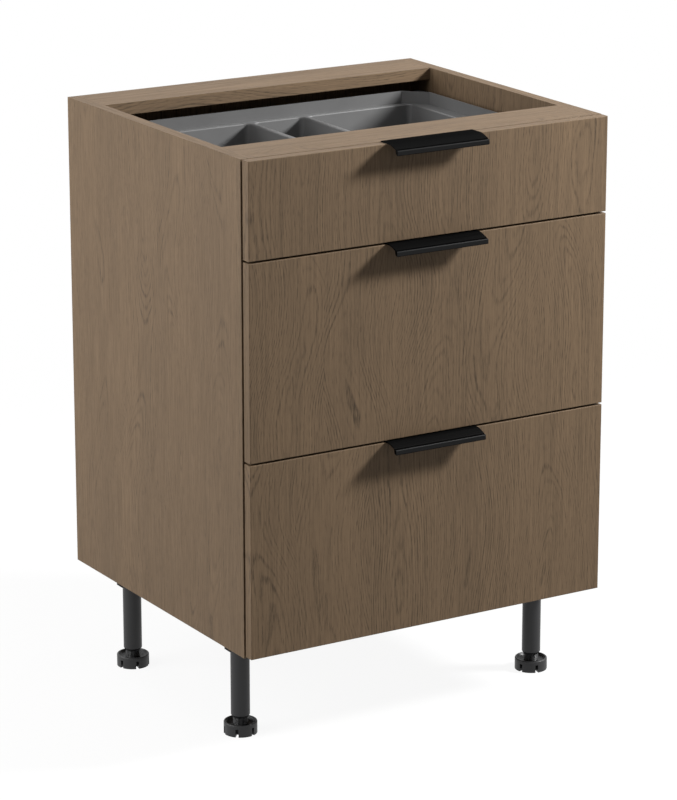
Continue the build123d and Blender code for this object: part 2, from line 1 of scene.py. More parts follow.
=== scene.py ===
# %% [markdown]
# # A kitchen base cabinet with three drawers
# The measured parts of the cabinet come from a frame that is already built: boards, steel
# drawer boxes, runners, handles and legs, each in its true place and size. This lesson gives
# every part its real finish, adds the small forms that a plain solid lacks, and sets up the
# camera and the lamps. The frame is loaded first, because each later step hangs on it.

# %% Load the frame
import bmesh
import bpy
import math
from mathutils import Matrix, Vector


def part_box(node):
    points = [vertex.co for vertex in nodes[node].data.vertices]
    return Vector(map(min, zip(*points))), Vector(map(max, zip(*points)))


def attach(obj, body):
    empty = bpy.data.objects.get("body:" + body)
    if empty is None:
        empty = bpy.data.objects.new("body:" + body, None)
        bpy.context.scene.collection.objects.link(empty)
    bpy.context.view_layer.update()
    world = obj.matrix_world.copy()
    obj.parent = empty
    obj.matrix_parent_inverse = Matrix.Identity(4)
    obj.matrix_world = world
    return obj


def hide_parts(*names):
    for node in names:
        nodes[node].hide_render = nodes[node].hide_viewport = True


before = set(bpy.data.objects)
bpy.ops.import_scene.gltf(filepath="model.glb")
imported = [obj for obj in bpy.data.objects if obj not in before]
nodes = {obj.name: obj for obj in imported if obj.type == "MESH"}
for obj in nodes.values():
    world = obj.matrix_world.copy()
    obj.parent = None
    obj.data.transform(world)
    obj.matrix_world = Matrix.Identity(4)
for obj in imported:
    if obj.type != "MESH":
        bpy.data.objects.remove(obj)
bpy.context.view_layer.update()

MM = 0.001
print("parts in the frame:", len(nodes))

# %% [markdown]
# The camera stands to the left of the cabinet and looks down on it a little. Its place was
# found from the corner points of the cabinet, whose true sizes are known: the focal length in
# pixels, two angles and a position that bring those corners to their places in the picture. A
# long lens keeps the verticals nearly parallel. A shifted lens would make them exactly
# parallel, but it would pull the cabinet out of every other view, so it isn't used.

# %% Camera
PICTURE_HEIGHT = 800           # the longer side of the picture in pixels
FOCAL_PIXELS = 3498
SENSOR = 36                    # the longer side of the sensor in mm
YAW, PITCH = math.radians(31.39), math.radians(16.10)

camera = bpy.data.objects.new("camera", bpy.data.cameras.new("camera"))
bpy.context.collection.objects.link(camera)
camera.location = (-2.607, -4.270, 1.872)
camera.rotation_euler = (math.pi / 2 - PITCH, 0, -YAW)
camera.data.sensor_width = SENSOR
camera.data.lens = FOCAL_PIXELS / PICTURE_HEIGHT * SENSOR
camera.data.clip_end = 100
bpy.context.scene.camera = camera
print("lens in mm:", round(camera.data.lens, 1))

# %% [markdown]
# Colours are written the way a designer picks them on a screen, as sRGB hex values. The
# renderer adds up light, so it needs linear values: one function does that conversion.
# A second small function adds a node, sets its values and joins its inputs, so that each
# material below reads as a short recipe. Where several sockets share a name they are given by
# number: a Map Range takes its range from 1 and 2 and gives one from 3 to 4, and a Mix has its
# factor at 0 and its two inputs at 4 and 5 for vectors or at 6 and 7 for colours.

# %% Two helpers: colours and nodes
def linear(hex_colour):
    """An sRGB colour such as "#808080" as linear red, green, blue and alpha."""
    values = [int(hex_colour[i:i + 2], 16) / 255 for i in (1, 3, 5)]
    return [v / 12.92 if v <= 0.04045 else ((v + 0.055) / 1.055) ** 2.4 for v in values] + [1]


def add(tree, kind, inputs=None, **settings):
    """Add a node. inputs maps a socket to a value, to another node or to one of its outputs."""
    node = tree.nodes.new(kind)
    for key, value in settings.items():
        setattr(node, key, value)
    for key, value in (inputs or {}).items():
        if isinstance(value, bpy.types.Node):
            value = next(output for output in value.outputs if output.enabled)
        if isinstance(value, bpy.types.NodeSocket):
            tree.links.new(value, node.inputs[key])
        else:
            node.inputs[key].default_value = value
    return node


def new_material(name):
    """An empty material; returns it with its tree and its output node."""
    material = bpy.data.materials.new(name)
    material.use_nodes = True
    material.node_tree.nodes.clear()
    return material, material.node_tree, add(material.node_tree, "ShaderNodeOutputMaterial")


def dress(material, *names):
    """Give a material to whole parts of the frame."""
    for name in names:
        data = nodes[name].data
        data.materials.clear()
        data.materials.append(material)
    print(material.name, "on", len(names), "parts")


print("a mid grey in linear light:", round(linear("#808080")[0], 3))

# %% [markdown]
# ## Oak decor board
# The sides, rails, bottom and fronts are melamine-faced chipboard with a matt oak decor in a
# warm grey-brown. The decor paper is printed from crown-cut oak laid leaf beside leaf: near
# the middle of a leaf the saw ran close to the heart and the growth rings close into tall
# arches, and towards its edges they run straight. Over the rings lie fine fibres, short dark
# pores, broad bands of tone and a few pin knots. An image could be used, but a pattern worked
# out from real sizes has no edge and no repeat. So each leaf is cut from its own trunk: a
# ring is a circle about the heart, the depth of the cut below the heart changes slowly along
# the board, and the distance from the heart to a point of the surface says which ring it is.
#
# The grain runs up the sides and the fronts and along the rails. On the narrow edges the
# edge band has its grain lengthwise, so the tree looks at which way a face points. The seed of
# a board only moves it to another place in each pattern, by factors that have no common
# measure, so that no two boards show the same leaf.

# %% Sizes of the oak figure, in metres
LEAF = 0.120                   # width of one leaf of veneer
WANDER_LENGTH = 0.42           # the heart wanders and sinks over this length
WANDER = 0.050                 # sideways
CUT_DEPTH = (0.003, 0.050)     # heart below the surface, least and most
RING = 0.0036                  # growth ring
WEAK_YEAR = 0.15               # the faintest ring, as a share of the boldest
CURL = (0.009, 0.035)          # width and length of the small waves in the grain
CURL_RINGS = 0.8               # how many rings such a wave is high
FIBRE = (0.0024, 0.11)         # width and length of the fine fibres
PORE = (0.0011, 0.014)         # real pores are a quarter as wide, too fine to show here
BAND = (0.070, 1.1)            # broad bands of tone
PATCH = (0.05, 0.22)           # stretches where the rings are bolder or fainter
KNOT_SPACING = (0.26, 0.42)    # across and along the grain
KNOT = 0.016                   # share of that spacing that a knot fills
KNOT_SHADE = 3.5               # how many times wider its dark ring is
EDGE_RADIUS = 0.9 * MM         # the edge band is milled round, which catches a thin light
SQUARE_ON = 0.7                # from this much along the grain, a face's normal makes it an edge
OAK = "#806a52"
print("rings across one leaf:", round(LEAF / RING))


# %% Which way the grain runs
def grain_coordinates(tree, grain, edge_grain):
    """Position in metres as (across the grain, 0, along the grain)."""
    place = add(tree, "ShaderNodeSeparateXYZ",
                {0: add(tree, "ShaderNodeTexCoord").outputs["Object"]}).outputs
    facing = add(tree, "ShaderNodeSeparateXYZ",
                 {0: add(tree, "ShaderNodeNewGeometry").outputs["True Normal"]}).outputs
    if grain == "Z":
        other = "Y" if edge_grain == "X" else "X"
        across = add(tree, "ShaderNodeMath", {0: place["X"], 1: place["Y"]}, operation="ADD")
        face = add(tree, "ShaderNodeCombineXYZ", {0: across, 2: place["Z"]})
        edge = add(tree, "ShaderNodeCombineXYZ", {0: place[other], 2: place[edge_grain]})
    else:
        across = add(tree, "ShaderNodeMath", {0: place["Y"], 1: place["Z"]}, operation="ADD")
        face = add(tree, "ShaderNodeCombineXYZ", {0: across, 2: place["X"]})
        edge = add(tree, "ShaderNodeCombineXYZ", {0: place["Z"], 2: place["Y"]})
    leaning = add(tree, "ShaderNodeMath", {0: facing[grain]}, operation="ABSOLUTE")
    on_edge = add(tree, "ShaderNodeMath", {0: leaning, 1: SQUARE_ON}, operation="GREATER_THAN")
    return add(tree, "ShaderNodeMix", {0: on_edge, 4: face, 5: edge}, data_type="VECTOR")


def drawn_out_noise(tree, where, size, seed, **sockets):
    """Soft noise whose spots are as wide and as long as size says."""
    scaled = add(tree, "ShaderNodeVectorMath", {0: where, 1: (1 / size[0], 1, 1 / size[1])},
                 operation="MULTIPLY")
    return add(tree, "ShaderNodeTexNoise", {"Vector": scaled, "W": seed, "Scale": 1.0, **sockets},
               noise_dimensions="4D")


# %% Growth rings of crown-cut leaves
def growth_rings(tree, where, seed):
    """How near a point lies to the dark line of a ring: 0 between two rings, 1 on the line."""
    part = add(tree, "ShaderNodeSeparateXYZ", {0: where}).outputs
    leaf = add(tree, "ShaderNodeMath", {0: part["X"], 1: 1 / LEAF, 2: seed * 0.37},
               operation="MULTIPLY_ADD")
    number = add(tree, "ShaderNodeMath", {0: leaf}, operation="FLOOR")
    within = add(tree, "ShaderNodeMath", {0: leaf}, operation="FRACT")
    within = add(tree, "ShaderNodeMath", {0: within, 1: 0.5}, operation="SUBTRACT")
    along = add(tree, "ShaderNodeMath", {0: part["Z"], 1: 1 / WANDER_LENGTH}, operation="MULTIPLY")
    track = add(tree, "ShaderNodeCombineXYZ", {0: number, 1: along, 2: seed * 3.7})
    wander = add(tree, "ShaderNodeTexNoise", {"Vector": track, "Scale": 1.0, "Detail": 1.0})
    heart = add(tree, "ShaderNodeSeparateXYZ", {0: wander.outputs["Color"]}).outputs
    sideways = add(tree, "ShaderNodeMapRange", {0: heart["X"], 1: 0.25, 2: 0.75, 3: -WANDER, 4: WANDER})
    from_heart = add(tree, "ShaderNodeMath", {0: within, 1: LEAF, 2: sideways}, operation="MULTIPLY_ADD")
    depth = add(tree, "ShaderNodeMapRange",
                {0: heart["Y"], 1: 0.30, 2: 0.70, 3: CUT_DEPTH[0], 4: CUT_DEPTH[1]})
    from_heart = add(tree, "ShaderNodeCombineXYZ", {0: from_heart, 1: depth})
    radius = add(tree, "ShaderNodeVectorMath", {0: from_heart}, operation="LENGTH").outputs["Value"]
    curl = drawn_out_noise(tree, where, CURL, seed + 2.9, Detail=2.0)
    curl = add(tree, "ShaderNodeMath", {0: curl, 1: CURL_RINGS}, operation="MULTIPLY")
    ring = add(tree, "ShaderNodeMath", {0: radius, 1: 1 / RING, 2: curl}, operation="MULTIPLY_ADD")
    line = add(tree, "ShaderNodeMath", {0: ring, 1: 0.5}, operation="PINGPONG")
    line = add(tree, "ShaderNodeMapRange", {0: line, 1: 0.18, 2: 0.5}, interpolation_type="SMOOTHSTEP")
    year = add(tree, "ShaderNodeMath", {0: ring}, operation="FLOOR")
    year = add(tree, "ShaderNodeCombineXYZ", {0: year, 1: number, 2: seed * 5.3})
    growth = add(tree, "ShaderNodeTexWhiteNoise", {"Vector": year}, noise_dimensions="3D")
    growth = add(tree, "ShaderNodeMapRange", {0: growth, 3: WEAK_YEAR, 4: 1.0})
    return add(tree, "ShaderNodeMath", {0: line, 1: growth}, operation="MULTIPLY")


# %% Oak decor board
def oak_decor(name, seed, grain="Z", edge_grain="X", tone=OAK, contrast=1.0):
    """Matt oak decor; seed picks other leaves of the veneer."""
    material, tree, output = new_material(name)
    where = grain_coordinates(tree, grain, edge_grain)
    rings = growth_rings(tree, where, seed)
    fibres = drawn_out_noise(tree, where, FIBRE, seed * 7.3 + 5.7, Detail=4.0, Roughness=0.6)
    pores = drawn_out_noise(tree, where, PORE, seed * 7.3 + 3.1, Detail=1.0)
    bands = drawn_out_noise(tree, where, BAND, seed * 7.3 + 9.4, Detail=2.0)
    patches = drawn_out_noise(tree, where, PATCH, seed * 7.3 + 1.9, Detail=1.0)
    spread = add(tree, "ShaderNodeVectorMath",
                 {0: where, 1: (1 / KNOT_SPACING[0], 1, 1 / KNOT_SPACING[1])}, operation="MULTIPLY")
    knots = add(tree, "ShaderNodeTexVoronoi", {"Vector": spread, "W": seed * 1.7, "Scale": 1.0},
                voronoi_dimensions="4D", feature="F1")

    # noise stays mostly between 0.3 and 0.7, so the ranges stretch that part of it
    ring_strength = add(tree, "ShaderNodeMapRange", {0: patches, 1: 0.35, 2: 0.65, 3: 0.35, 4: 1.0})
    ring_shade = add(tree, "ShaderNodeMath", {0: rings, 1: ring_strength}, operation="MULTIPLY")
    broken = add(tree, "ShaderNodeMapRange", {0: pores, 1: 0.38, 2: 0.60, 3: 0.40, 4: 1.0})
    ring_shade = add(tree, "ShaderNodeMath", {0: ring_shade, 1: broken}, operation="MULTIPLY")
    pore_shade = add(tree, "ShaderNodeMapRange", {0: pores, 1: 0.50, 2: 0.62},
                     interpolation_type="SMOOTHSTEP")
    in_a_ring = add(tree, "ShaderNodeMapRange", {0: rings, 3: 0.35, 4: 1.0})
    pore_shade = add(tree, "ShaderNodeMath", {0: pore_shade, 1: in_a_ring}, operation="MULTIPLY")
    fibre_shade = add(tree, "ShaderNodeMapRange", {0: fibres, 1: 0.30, 2: 0.70})
    band_shade = add(tree, "ShaderNodeMapRange", {0: bands, 1: 0.32, 2: 0.68})
    knot_shade = add(tree, "ShaderNodeMapRange",
                     {0: knots.outputs["Distance"], 1: KNOT, 2: KNOT * KNOT_SHADE, 3: 1.0, 4: 0.0},
                     interpolation_type="SMOOTHSTEP")

    # each pattern takes its share of light away from the pale ground
    colour = linear(tone)
    for shade, share in ((band_shade, 0.18), (ring_shade, 0.50), (fibre_shade, 0.36),
                         (pore_shade, 0.34), (knot_shade, 0.50)):
        left = add(tree, "ShaderNodeMapRange", {0: shade, 3: 1.0, 4: 1.0 - share * contrast})
        colour = add(tree, "ShaderNodeMix", {0: 1.0, 6: colour, 7: left}, data_type="RGBA",
                     blend_type="MULTIPLY")

    relief = add(tree, "ShaderNodeMath", {0: pore_shade, 1: fibre_shade}, operation="ADD")
    rounded = add(tree, "ShaderNodeBevel", {"Radius": EDGE_RADIUS}, samples=4)
    bump = add(tree, "ShaderNodeBump", {"Height": relief, "Strength": 0.25, "Distance": 0.08 * MM,
                                        "Normal": rounded}, invert=True)
    gloss = add(tree, "ShaderNodeMapRange", {0: fibre_shade, 3: 0.52, 4: 0.64})
    shader = add(tree, "ShaderNodeBsdfPrincipled",
                 {"Base Color": colour, "Roughness": gloss, "IOR": 1.5, "Specular IOR Level": 0.22,
                  "Normal": bump})
    tree.links.new(shader.outputs[0], output.inputs[0])
    return material


dress(oak_decor("oak_decor_left", 1, edge_grain="Y", contrast=0.95), "side_panel_left")
dress(oak_decor("oak_decor_right", 2, edge_grain="Y", contrast=0.95), "side_panel_right")
dress(oak_decor("oak_decor_rails", 3, grain="X"), "front_rail", "rear_rail")
dress(oak_decor("oak_decor_bottom", 4, grain="X"), "bottom_panel")
dress(oak_decor("oak_decor_back", 5), "back_panel")
DRAWERS = (1, 2, 3)
for number in DRAWERS:
    dress(oak_decor("oak_decor_front_%d" % number, 5 + number), "drawer_front_%d" % number)

# %% [markdown]
# ## Black anodised handles
# The edge pulls are extruded aluminium, anodised and dyed black. It is a metal, so almost all
# of what the eye gets from it is reflection, and the dye in the oxide layer swallows most of
# that: a near-black base colour with the metallic shader, dark even at a glancing angle. The
# die leaves faint lines along the profile, drawn here as a noise stretched along the length.

# %% Black anodised aluminium
DIE_LINE = 0.0012              # a real die line is ten times finer


def anodised_black():
    """Dyed and anodised aluminium, with the die's lines along X."""
    material, tree, output = new_material("black_anodised_aluminium")
    place = add(tree, "ShaderNodeTexCoord").outputs["Object"]
    lines = add(tree, "ShaderNodeVectorMath", {0: place, 1: (4, 1 / DIE_LINE, 1 / DIE_LINE)},
                operation="MULTIPLY")
    noise = add(tree, "ShaderNodeTexNoise", {"Vector": lines, "Scale": 1.0, "Detail": 3.0})
    colour = add(tree, "ShaderNodeMix", {0: noise, 6: linear("#1c1c1c"), 7: linear("#262626")},
                 data_type="RGBA")
    rough = add(tree, "ShaderNodeMapRange", {0: noise, 3: 0.42, 4: 0.56})
    bump = add(tree, "ShaderNodeBump", {"Height": noise, "Strength": 0.1, "Distance": 0.05 * MM})
    shader = add(tree, "ShaderNodeBsdfPrincipled",
                 {"Base Color": colour, "Metallic": 1.0, "Roughness": rough,
                  "Specular Tint": linear("#5a5a5a"), "Normal": bump})
    tree.links.new(shader.outputs[0], output.inputs[0])
    return material


dress(anodised_black(), *["handle_%d" % number for number in DRAWERS])

# %% [markdown]
# ## Moulded plastics
# The legs are glass-filled polypropylene, moulded black with a fine spark-eroded grain that
# breaks up the highlight. The cutlery tray is grey polystyrene sheet with a smooth satin
# face. Both get their colour through the whole wall, so only the grain and a slight
# unevenness of the gloss show.

# %% Moulded plastics
def moulded_plastic(name, tone, grain, gloss, depth):
    """Plastic of one colour; grain and depth are the size of its texture in metres."""
    material, tree, output = new_material(name)
    place = add(tree, "ShaderNodeTexCoord").outputs["Object"]
    fine = add(tree, "ShaderNodeTexNoise", {"Vector": place, "Scale": 1 / grain, "Detail": 2.0})
    broad = add(tree, "ShaderNodeTexNoise", {"Vector": place, "Scale": 18.0, "Detail": 2.0})
    base = linear(tone)
    darker = [v * 0.90 for v in base[:3]] + [1]
    lighter = [v * 1.10 for v in base[:3]] + [1]
    colour = add(tree, "ShaderNodeMix", {0: broad, 6: darker, 7: lighter}, data_type="RGBA")
    rough = add(tree, "ShaderNodeMapRange", {0: broad, 3: gloss - 0.05, 4: gloss + 0.05})
    bump = add(tree, "ShaderNodeBump", {"Height": fine, "Strength": 0.25, "Distance": depth})
    shader = add(tree, "ShaderNodeBsdfPrincipled",
                 {"Base Color": colour, "Roughness": rough, "IOR": 1.49, "Specular IOR Level": 0.4,
                  "Normal": bump})
    tree.links.new(shader.outputs[0], output.inputs[0])
    return material


leg_plastic = moulded_plastic("black_polypropylene", "#242425",
                              grain=0.0006, gloss=0.46, depth=0.05 * MM)
tray_plastic = moulded_plastic("grey_polystyrene", "#676767",
                               grain=0.0008, gloss=0.42, depth=0.02 * MM)
corners = ("front_left", "front_right", "rear_left", "rear_right")
dress(leg_plastic, "leg_sockets")
for kind in ("leg_tube_", "foot_spindle_", "foot_disc_"):
    dress(leg_plastic, *[kind + corner for corner in corners])
dress(tray_plastic, "cutlery_tray")

# %% [markdown]
# ## Steel, zinc and raw wood inside
# The drawer sides are powder-coated steel with a faint orange-peel, the runners and brackets
# are galvanised steel with a soft grey bloom, and the screws, cams and bolts are zinc plated.
# The drawer bases are grey melamine board, and the dowels are raw beech.

# %% Metals
def bare_metal(name, tone, gloss, bloom):
    """Zinc or steel; bloom is the size of its cloudy patches in metres."""
    material, tree, output = new_material(name)
    place = add(tree, "ShaderNodeTexCoord").outputs["Object"]
    clouds = add(tree, "ShaderNodeTexNoise", {"Vector": place, "Scale": 1 / bloom, "Detail": 4.0})
    base = linear(tone)
    darker = [v * 0.80 for v in base[:3]] + [1]
    colour = add(tree, "ShaderNodeMix", {0: clouds, 6: darker, 7: base}, data_type="RGBA")
    rough = add(tree, "ShaderNodeMapRange", {0: clouds, 3: gloss - 0.08, 4: gloss + 0.10})
    shader = add(tree, "ShaderNodeBsdfPrincipled",
                 {"Base Color": colour, "Metallic": 1.0, "Roughness": rough})
    tree.links.new(shader.outputs[0], output.inputs[0])
    return material


galvanised = bare_metal("galvanised_steel", "#b9bcbf", gloss=0.38, bloom=0.012)
zinc_plate = bare_metal("zinc_plated_screws", "#c2c2bf", gloss=0.30, bloom=0.004)
die_cast = bare_metal("die_cast_zinc", "#aeb0b2", gloss=0.42, bloom=0.003)
for kind in ("runner_cabinet_members_%d", "runner_middle_members_%d", "runner_drawer_members_%d",
             "front_brackets_%d"):
    dress(galvanised, *[kind % number for number in DRAWERS])
dress(zinc_plate, *["drawer_screws_%d" % number for number in DRAWERS])
dress(zinc_plate, "cam_bolts", "runner_screws", "leg_screws")
dress(die_cast, "cam_housings")

# %% Powder coat, board and beech
powder_coat = moulded_plastic("grey_powder_coat", "#606265",
                              grain=0.0010, gloss=0.48, depth=0.04 * MM)
grey_board = moulded_plastic("grey_melamine_board", "#6f6f70",
                             grain=0.0007, gloss=0.55, depth=0.03 * MM)
for number in DRAWERS:
    dress(powder_coat, "drawer_side_left_%d" % number, "drawer_side_right_%d" % number)
    dress(grey_board, "drawer_base_%d" % number, "drawer_back_%d" % number)
dress(oak_decor("raw_beech", 12, grain="X", tone="#c9a878"), "dowels")

# %% [markdown]
# ## Making new pieces
# Some small forms are missing from the frame's plain solids: threads, dished feet, gussets and
# screw heads. They could be modelled by hand, but a form that is worked out from its sizes can
# be checked and changed. Most of them are skins: loops of points, all with the same number of
# points, joined by faces. Each new piece then rides the moving body of the part it belongs to.

# %% Helpers for new pieces
def skin(name, rows, ring=False):
    """A closed mesh over rows of points, each row a loop; a ring joins the last row to the first."""
    steps = len(rows[0])
    faces = []
    for row in range(len(rows) if ring else len(rows) - 1):
        above = (row + 1) % len(rows)
        for i in range(steps):
            j = (i + 1) % steps
            faces.append((row * steps + i, row * steps + j, above * steps + j, above * steps + i))
    if not ring:
        faces.append(tuple(reversed(range(steps))))
        faces.append(tuple(range((len(rows) - 1) * steps, len(rows) * steps)))
    mesh = bpy.data.meshes.new(name)
    mesh.from_pydata([point for row in rows for point in row], [], faces)
    return mesh


def round_point(radius, angle, z):
    """A point about the Z axis."""
    return (radius * math.cos(angle), radius * math.sin(angle), z)


def axis_of(name):
    """Where the upright middle line of one part meets the floor."""
    low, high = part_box(name)
    return Vector(((low[0] + high[0]) / 2, (low[1] + high[1]) / 2, 0))


def new_piece(mesh, body, replaced=None, sharp_angle=40):
    """Put a mesh in the scene: it rides a body and may stand for one part."""
    mesh.polygons.foreach_set("use_smooth", [True] * len(mesh.polygons))
    mesh.set_sharp_from_angle(angle=math.radians(sharp_angle))
    piece = bpy.data.objects.new(mesh.name, mesh)
    bpy.context.collection.objects.link(piece)
    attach(piece, body)
    if replaced:
        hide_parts(replaced)
    return piece


print("axis of one leg in metres:", [round(v, 4) for v in axis_of("leg_tube_front_left")])

# %% [markdown]
# ## Threaded spindles
# Each foot screws in and out of its leg on a coarse moulded thread with two starts: the ribs
# are 2 mm apart and one turn lifts the cabinet by 4 mm. The frame holds the spindle as a plain
# bar. A thread could be a boolean of a coil, which is slow and tears, so here the bar is built
# as a stack of rings whose radius follows the thread: a point's height and its angle say
# whether it lies on a rib or in a groove.

# %% Threaded spindles
THREAD_LEAD = 4 * MM
THREAD_STARTS = 2
THREAD_DEPTH = 0.9 * MM
RIB = THREAD_LEAD / THREAD_STARTS
FLAT_CREST = 1.35              # above 1 the crests of the ribs are cut flat
PLAIN_TOP = 0.14               # share of the radius that stays without thread at the top
TOP_CHAMFER = 0.5 * MM
DISH_DEPTH = 4.8 * MM          # the top of each foot disc is dished by this much
DISH_GAP = 0.1 * MM            # between the floor of the dish and the spindle
ROUND_STEPS = 40
RINGS_PER_RIB = 6


def threaded_spindle(corner):
    """The bar of one foot, with its thread, in the place of the plain one."""
    low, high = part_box("foot_spindle_" + corner)
    disc_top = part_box("foot_disc_" + corner)[1][2]
    start = disc_top - DISH_DEPTH + DISH_GAP
    crest = (high[0] - low[0]) / 2
    root = crest - THREAD_DEPTH
    axis = axis_of("foot_spindle_" + corner)
    pin = max((v.co - axis).xy.length
              for v in nodes["foot_spindle_" + corner].data.vertices if v.co.z < disc_top - MM)

    def on_the_thread(radius, z, angle):
        if radius < root:
            return radius
        turn = (z - start) / RIB - THREAD_STARTS * angle / (2 * math.pi)
        rise = 0.5 + 0.5 * math.cos(2 * math.pi * turn)
        return min(radius, root + THREAD_DEPTH * min(1.0, FLAT_CREST * rise))

    rings = round((high[2] - start - crest * PLAIN_TOP) / RIB * RINGS_PER_RIB)
    profile = [(pin, low[2]), (pin, start), (root, start)]
    profile += [(crest, start + RIB * (k + 0.5) / RINGS_PER_RIB) for k in range(rings)]
    profile += [(root, high[2] - TOP_CHAMFER), (root - TOP_CHAMFER, high[2])]
    angles = [2 * math.pi * i / ROUND_STEPS for i in range(ROUND_STEPS)]
    mesh = skin("spindle_thread_" + corner, [
        [round_point(on_the_thread(radius, z, angle), angle, z) for angle in angles]
        for radius, z in profile])
    mesh.transform(Matrix.Translation(axis))
    mesh.materials.append(leg_plastic)
    return new_piece(mesh, "spindle_" + corner, "foot_spindle_" + corner)


for corner in corners:
    spindle = threaded_spindle(corner)
print("points in one threaded spindle:", len(spindle.data.vertices))

# %% [markdown]
# ## Dished foot discs
# Each foot is a moulded disc with six open notches round its lower edge, for a tool that turns
# it, and with a dished top that leaves a thin raised rim round the dark hollow where the
# spindle stands. The notches have parallel sides, so a turned shape alone can't have them. The
# skin is laid over loops that all have the same number of points: the lower loops step in at
# each notch, the upper ones are round, and points that fall together are merged.

# %% Foot discs
RIM_RADIUS = 24.5 * MM
NOTCHES = 6
NOTCH_WIDTH = 4.4 * MM
NOTCH_BOTTOM = 13 * MM         # radius at the inner end of a notch
NOTCH_HEIGHT = 12 * MM
NOTCH_TURN = {"front_left": 48, "front_right": 18, "rear_left": 18, "rear_right": 18}
RIM_PARTS = 12                 # parts of the rim between two notches
HOLLOW_RADIUS, HOLLOW_HEIGHT = 9.5 * MM, 3 * MM   # in the underside
PIN_RADIUS, PIN_DEPTH = 6.05 * MM, 10 * MM        # pocket for the spindle's pin
AT_RIM = math.asin(NOTCH_WIDTH / 2 / RIM_RADIUS)  # half a notch seen from the axis
AT_BOTTOM = math.asin(NOTCH_WIDTH / 2 / NOTCH_BOTTOM)
LOOP_ANGLES = {"round": (AT_RIM, AT_RIM / 3),     # of each kind of loop, at the rim and inside
               "notched": (AT_RIM, AT_BOTTOM),
               "spread": (math.radians(14), math.radians(9.7))}
DISH = ((0, 1.4), (0.3, 0.6), (0.9, 0.1), (1.4, 0), (2.2, 0), (2.7, 0.3), (3.4, 1.6),
        (4.6, 3.3), (7.0, 4.3), (10.5, 4.8))      # mm inwards from the rim and below the top


def foot_loop(radius, z, turn, kind="round"):
    """One loop of the foot: round, or notched at the rim, or spread to meet the notches."""
    edge, inner_angle = LOOP_ANGLES[kind]
    inner_radius = NOTCH_BOTTOM if kind == "notched" else radius
    span = 2 * math.pi / NOTCHES - 2 * edge
    points = []
    for notch in range(NOTCHES):
        middle = turn + 2 * math.pi * notch / NOTCHES
        points.append(round_point(inner_radius, middle - inner_angle, z))
        points.append(round_point(inner_radius, middle + inner_angle, z))
        points += [round_point(radius, middle + edge + span * part / RIM_PARTS, z)
                   for part in range(RIM_PARTS + 1)]
    return points


def foot_disc(corner):
    """The dished and notched disc of one foot, in the place of the plain one."""
    low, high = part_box("foot_disc_" + corner)
    turn = math.radians(NOTCH_TURN[corner])
    top = high[2]
    rows = [foot_loop(HOLLOW_RADIUS, low[2] + HOLLOW_HEIGHT, turn, "spread"),
            foot_loop(HOLLOW_RADIUS, low[2], turn, "spread"),
            foot_loop(RIM_RADIUS, low[2], turn, "notched"),
            foot_loop(RIM_RADIUS, low[2] + NOTCH_HEIGHT, turn, "notched"),
            foot_loop(RIM_RADIUS, low[2] + NOTCH_HEIGHT, turn)]
    rows += [foot_loop(RIM_RADIUS - inwards * MM, top - below * MM, turn) for inwards, below in DISH]
    rows += [foot_loop(PIN_RADIUS, top - depth, turn) for depth in (DISH_DEPTH, PIN_DEPTH)]
    mesh = skin("foot_dish_" + corner, rows)
    bm = bmesh.new()
    bm.from_mesh(mesh)
    bmesh.ops.remove_doubles(bm, verts=bm.verts, dist=0.005 * MM)
    bm.to_mesh(mesh)
    bm.free()
    mesh.transform(Matrix.Translation(axis_of("foot_disc_" + corner)))
    mesh.materials.append(leg_plastic)
    return new_piece(mesh, "foot_" + corner, "foot_disc_" + corner, sharp_angle=35)


for corner in corners:
    foot = foot_disc(corner)
print("points in one foot disc:", len(foot.data.vertices))

# %% [markdown]
# ## Gussets of the leg sockets
# Under the plate of each socket a short sleeve grips the tube, and four thin gussets stiffen
# it. One of them shows as a dark nib beside the leg, just below the edge of the side panel.
# Sleeve and gussets are one moulding, so they are one skin over a star-shaped outline: the
# outline is repeated from the bottom to the plate and then down again inside, along the tube.

# %% Gussets
SLEEVE_WALL = 2.4 * MM
SLEEVE_HEIGHT = 19.8 * MM
GUSSET_REACH = 25 * MM         # from the axis of the leg
GUSSET_HEIGHT = 13.6 * MM      # at its outer end
GUSSET_HALF = 1.5 * MM
TOE = 0.6 * MM                 # how far its lower end stands out of the sleeve
OVERLAP = 0.3 * MM             # how far the skin reaches into the plate and into the tube
BARE = (22, 37, 53, 68)        # points of the sleeve between two gussets, in degrees
SOFTENED = 0.35 * MM           # bevel of the edges


